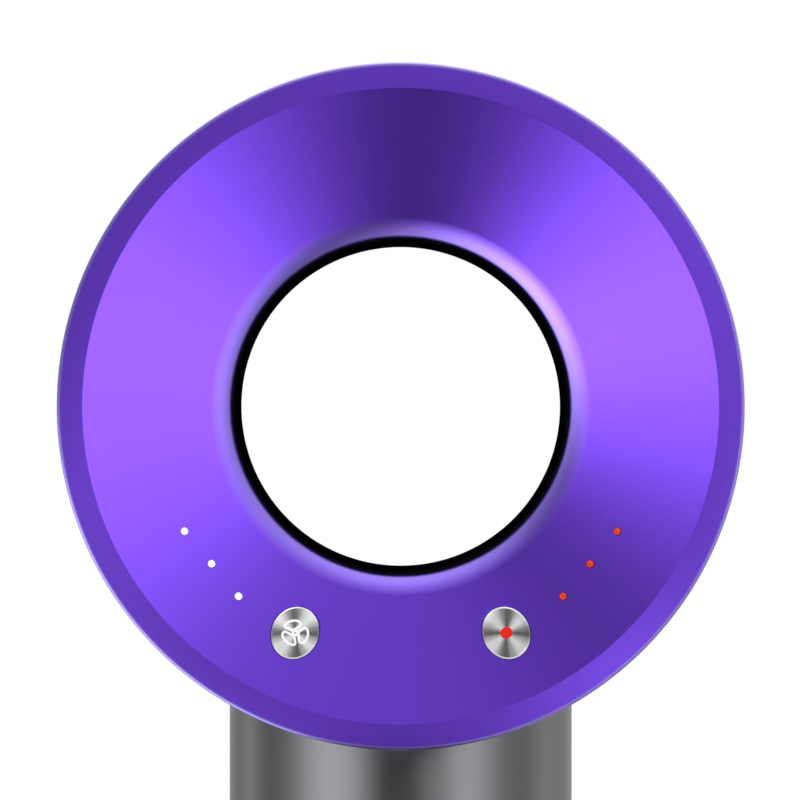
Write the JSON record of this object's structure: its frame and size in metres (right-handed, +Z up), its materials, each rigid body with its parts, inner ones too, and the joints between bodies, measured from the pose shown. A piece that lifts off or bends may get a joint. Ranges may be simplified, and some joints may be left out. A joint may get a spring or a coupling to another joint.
{
  "type": "hair dryer",
  "caption": "Hand-held electric hair dryer with an annular head round an open bore, a cylindrical handle, push buttons on the rear face and a pull-off inlet filter cage.",
  "frame": {"origin": "middle of the box's base, on the plane that the handle's foot stands on", "axes": "+Z up along the handle, +Y from the rear face with its buttons to the air outlet, +X to the right seen from behind"},
  "size_m": [0.078, 0.097, 0.245],
  "materials": {
    "purple_lacquer": "metallic purple lacquer, satin gloss",
    "satin_grey": "metallic grey lacquer, satin",
    "deep_black": "deep matt",
    "matt_black": "fine texture",
    "spun_steel": "spun",
    "dark_steel": "plain",
    "mica": "plain",
    "heater_wire": "drawn wire",
    "bright_alloy": "machined",
    "grey_rubber": "matt",
    "board_green": "solder mask",
    "copper_winding": "enamelled copper",
    "lens_white": "clear, lit white",
    "lens_red": "clear, lit red",
    "filter_mesh": "fine woven mesh"
  },
  "bodies": {
    "dryer": {"rear_cover": "purple_lacquer", "head_shell": "satin_grey", "bore_liner": "deep_black", "front_ring": "satin_grey", "attachment_ring": "dark_steel", "outlet_vanes": "matt_black", "heater_frame": "mica", "heater_coil": "heater_wire", "thermal_cutout": "bright_alloy", "baffle_gasket": "grey_rubber", "air_baffle": "matt_black", "control_board": "board_green", "board_screw_1": "bright_alloy", "board_screw_2": "bright_alloy", "board_screw_3": "bright_alloy", "speed_switch": "matt_black", "heat_switch": "matt_black", "speed_led_1": "lens_white", "speed_led_2": "lens_white", "speed_led_3": "lens_white", "heat_led_1": "lens_red", "heat_led_2": "lens_red", "heat_led_3": "lens_red", "handle_tube": "satin_grey", "neck_duct": "matt_black", "motor_mount": "grey_rubber", "motor_frame": "matt_black", "bearing_carrier": "bright_alloy", "lower_bearing": "spun_steel", "upper_bearing": "spun_steel", "stator_core": "dark_steel", "lower_winding": "copper_winding", "upper_winding": "copper_winding", "power_board": "board_green", "capacitor": "matt_black", "heat_sink": "bright_alloy", "switch_holder": "matt_black", "switch_board": "board_green", "power_switch": "matt_black", "cool_switch": "matt_black", "inlet_frame": "matt_black", "filter_screen": "filter_mesh", "cable_gland": "grey_rubber"},
    "speed_button": {"speed_button": "spun_steel", "speed_plunger": "spun_steel"},
    "heat_button": {"heat_button": "spun_steel", "heat_plunger": "spun_steel"},
    "power_slider": {"power_slider": "matt_black"},
    "cool_button": {"cool_button": "matt_black", "cool_plunger": "spun_steel"},
    "rotor": {"rotor_shaft": "bright_alloy", "rotor_magnet": "dark_steel", "impeller": "bright_alloy"},
    "filter_cage": {"filter_cage": "satin_grey"}
  },
  "joints": [
    {"name": "speed_button_press", "type": "slide", "parent": "dryer", "child": "speed_button", "axis": [0, 1, 0], "range_m": [0, 0.0006], "stiffness_N_per_m": 2500},
    {"name": "heat_button_press", "type": "slide", "parent": "dryer", "child": "heat_button", "axis": [0, 1, 0], "range_m": [0, 0.0006], "stiffness_N_per_m": 2500},
    {"name": "power_slide", "type": "slide", "parent": "dryer", "child": "power_slider", "axis": [0, 0, 1], "range_m": [0, 0.004]},
    {"name": "cool_button_press", "type": "slide", "parent": "dryer", "child": "cool_button", "axis": [0, -1, 0], "range_m": [0, 0.0008], "stiffness_N_per_m": 2000},
    {"name": "rotor_spin", "type": "hinge", "parent": "dryer", "child": "rotor", "pos_m": [0, -0.008, 0.08], "axis": [0, 0, 1], "continuous": true},
    {"name": "filter_cage_pull", "type": "slide", "parent": "dryer", "child": "filter_cage", "axis": [0, 0, -1], "range_m": [0, 0.052]}
  ]
}
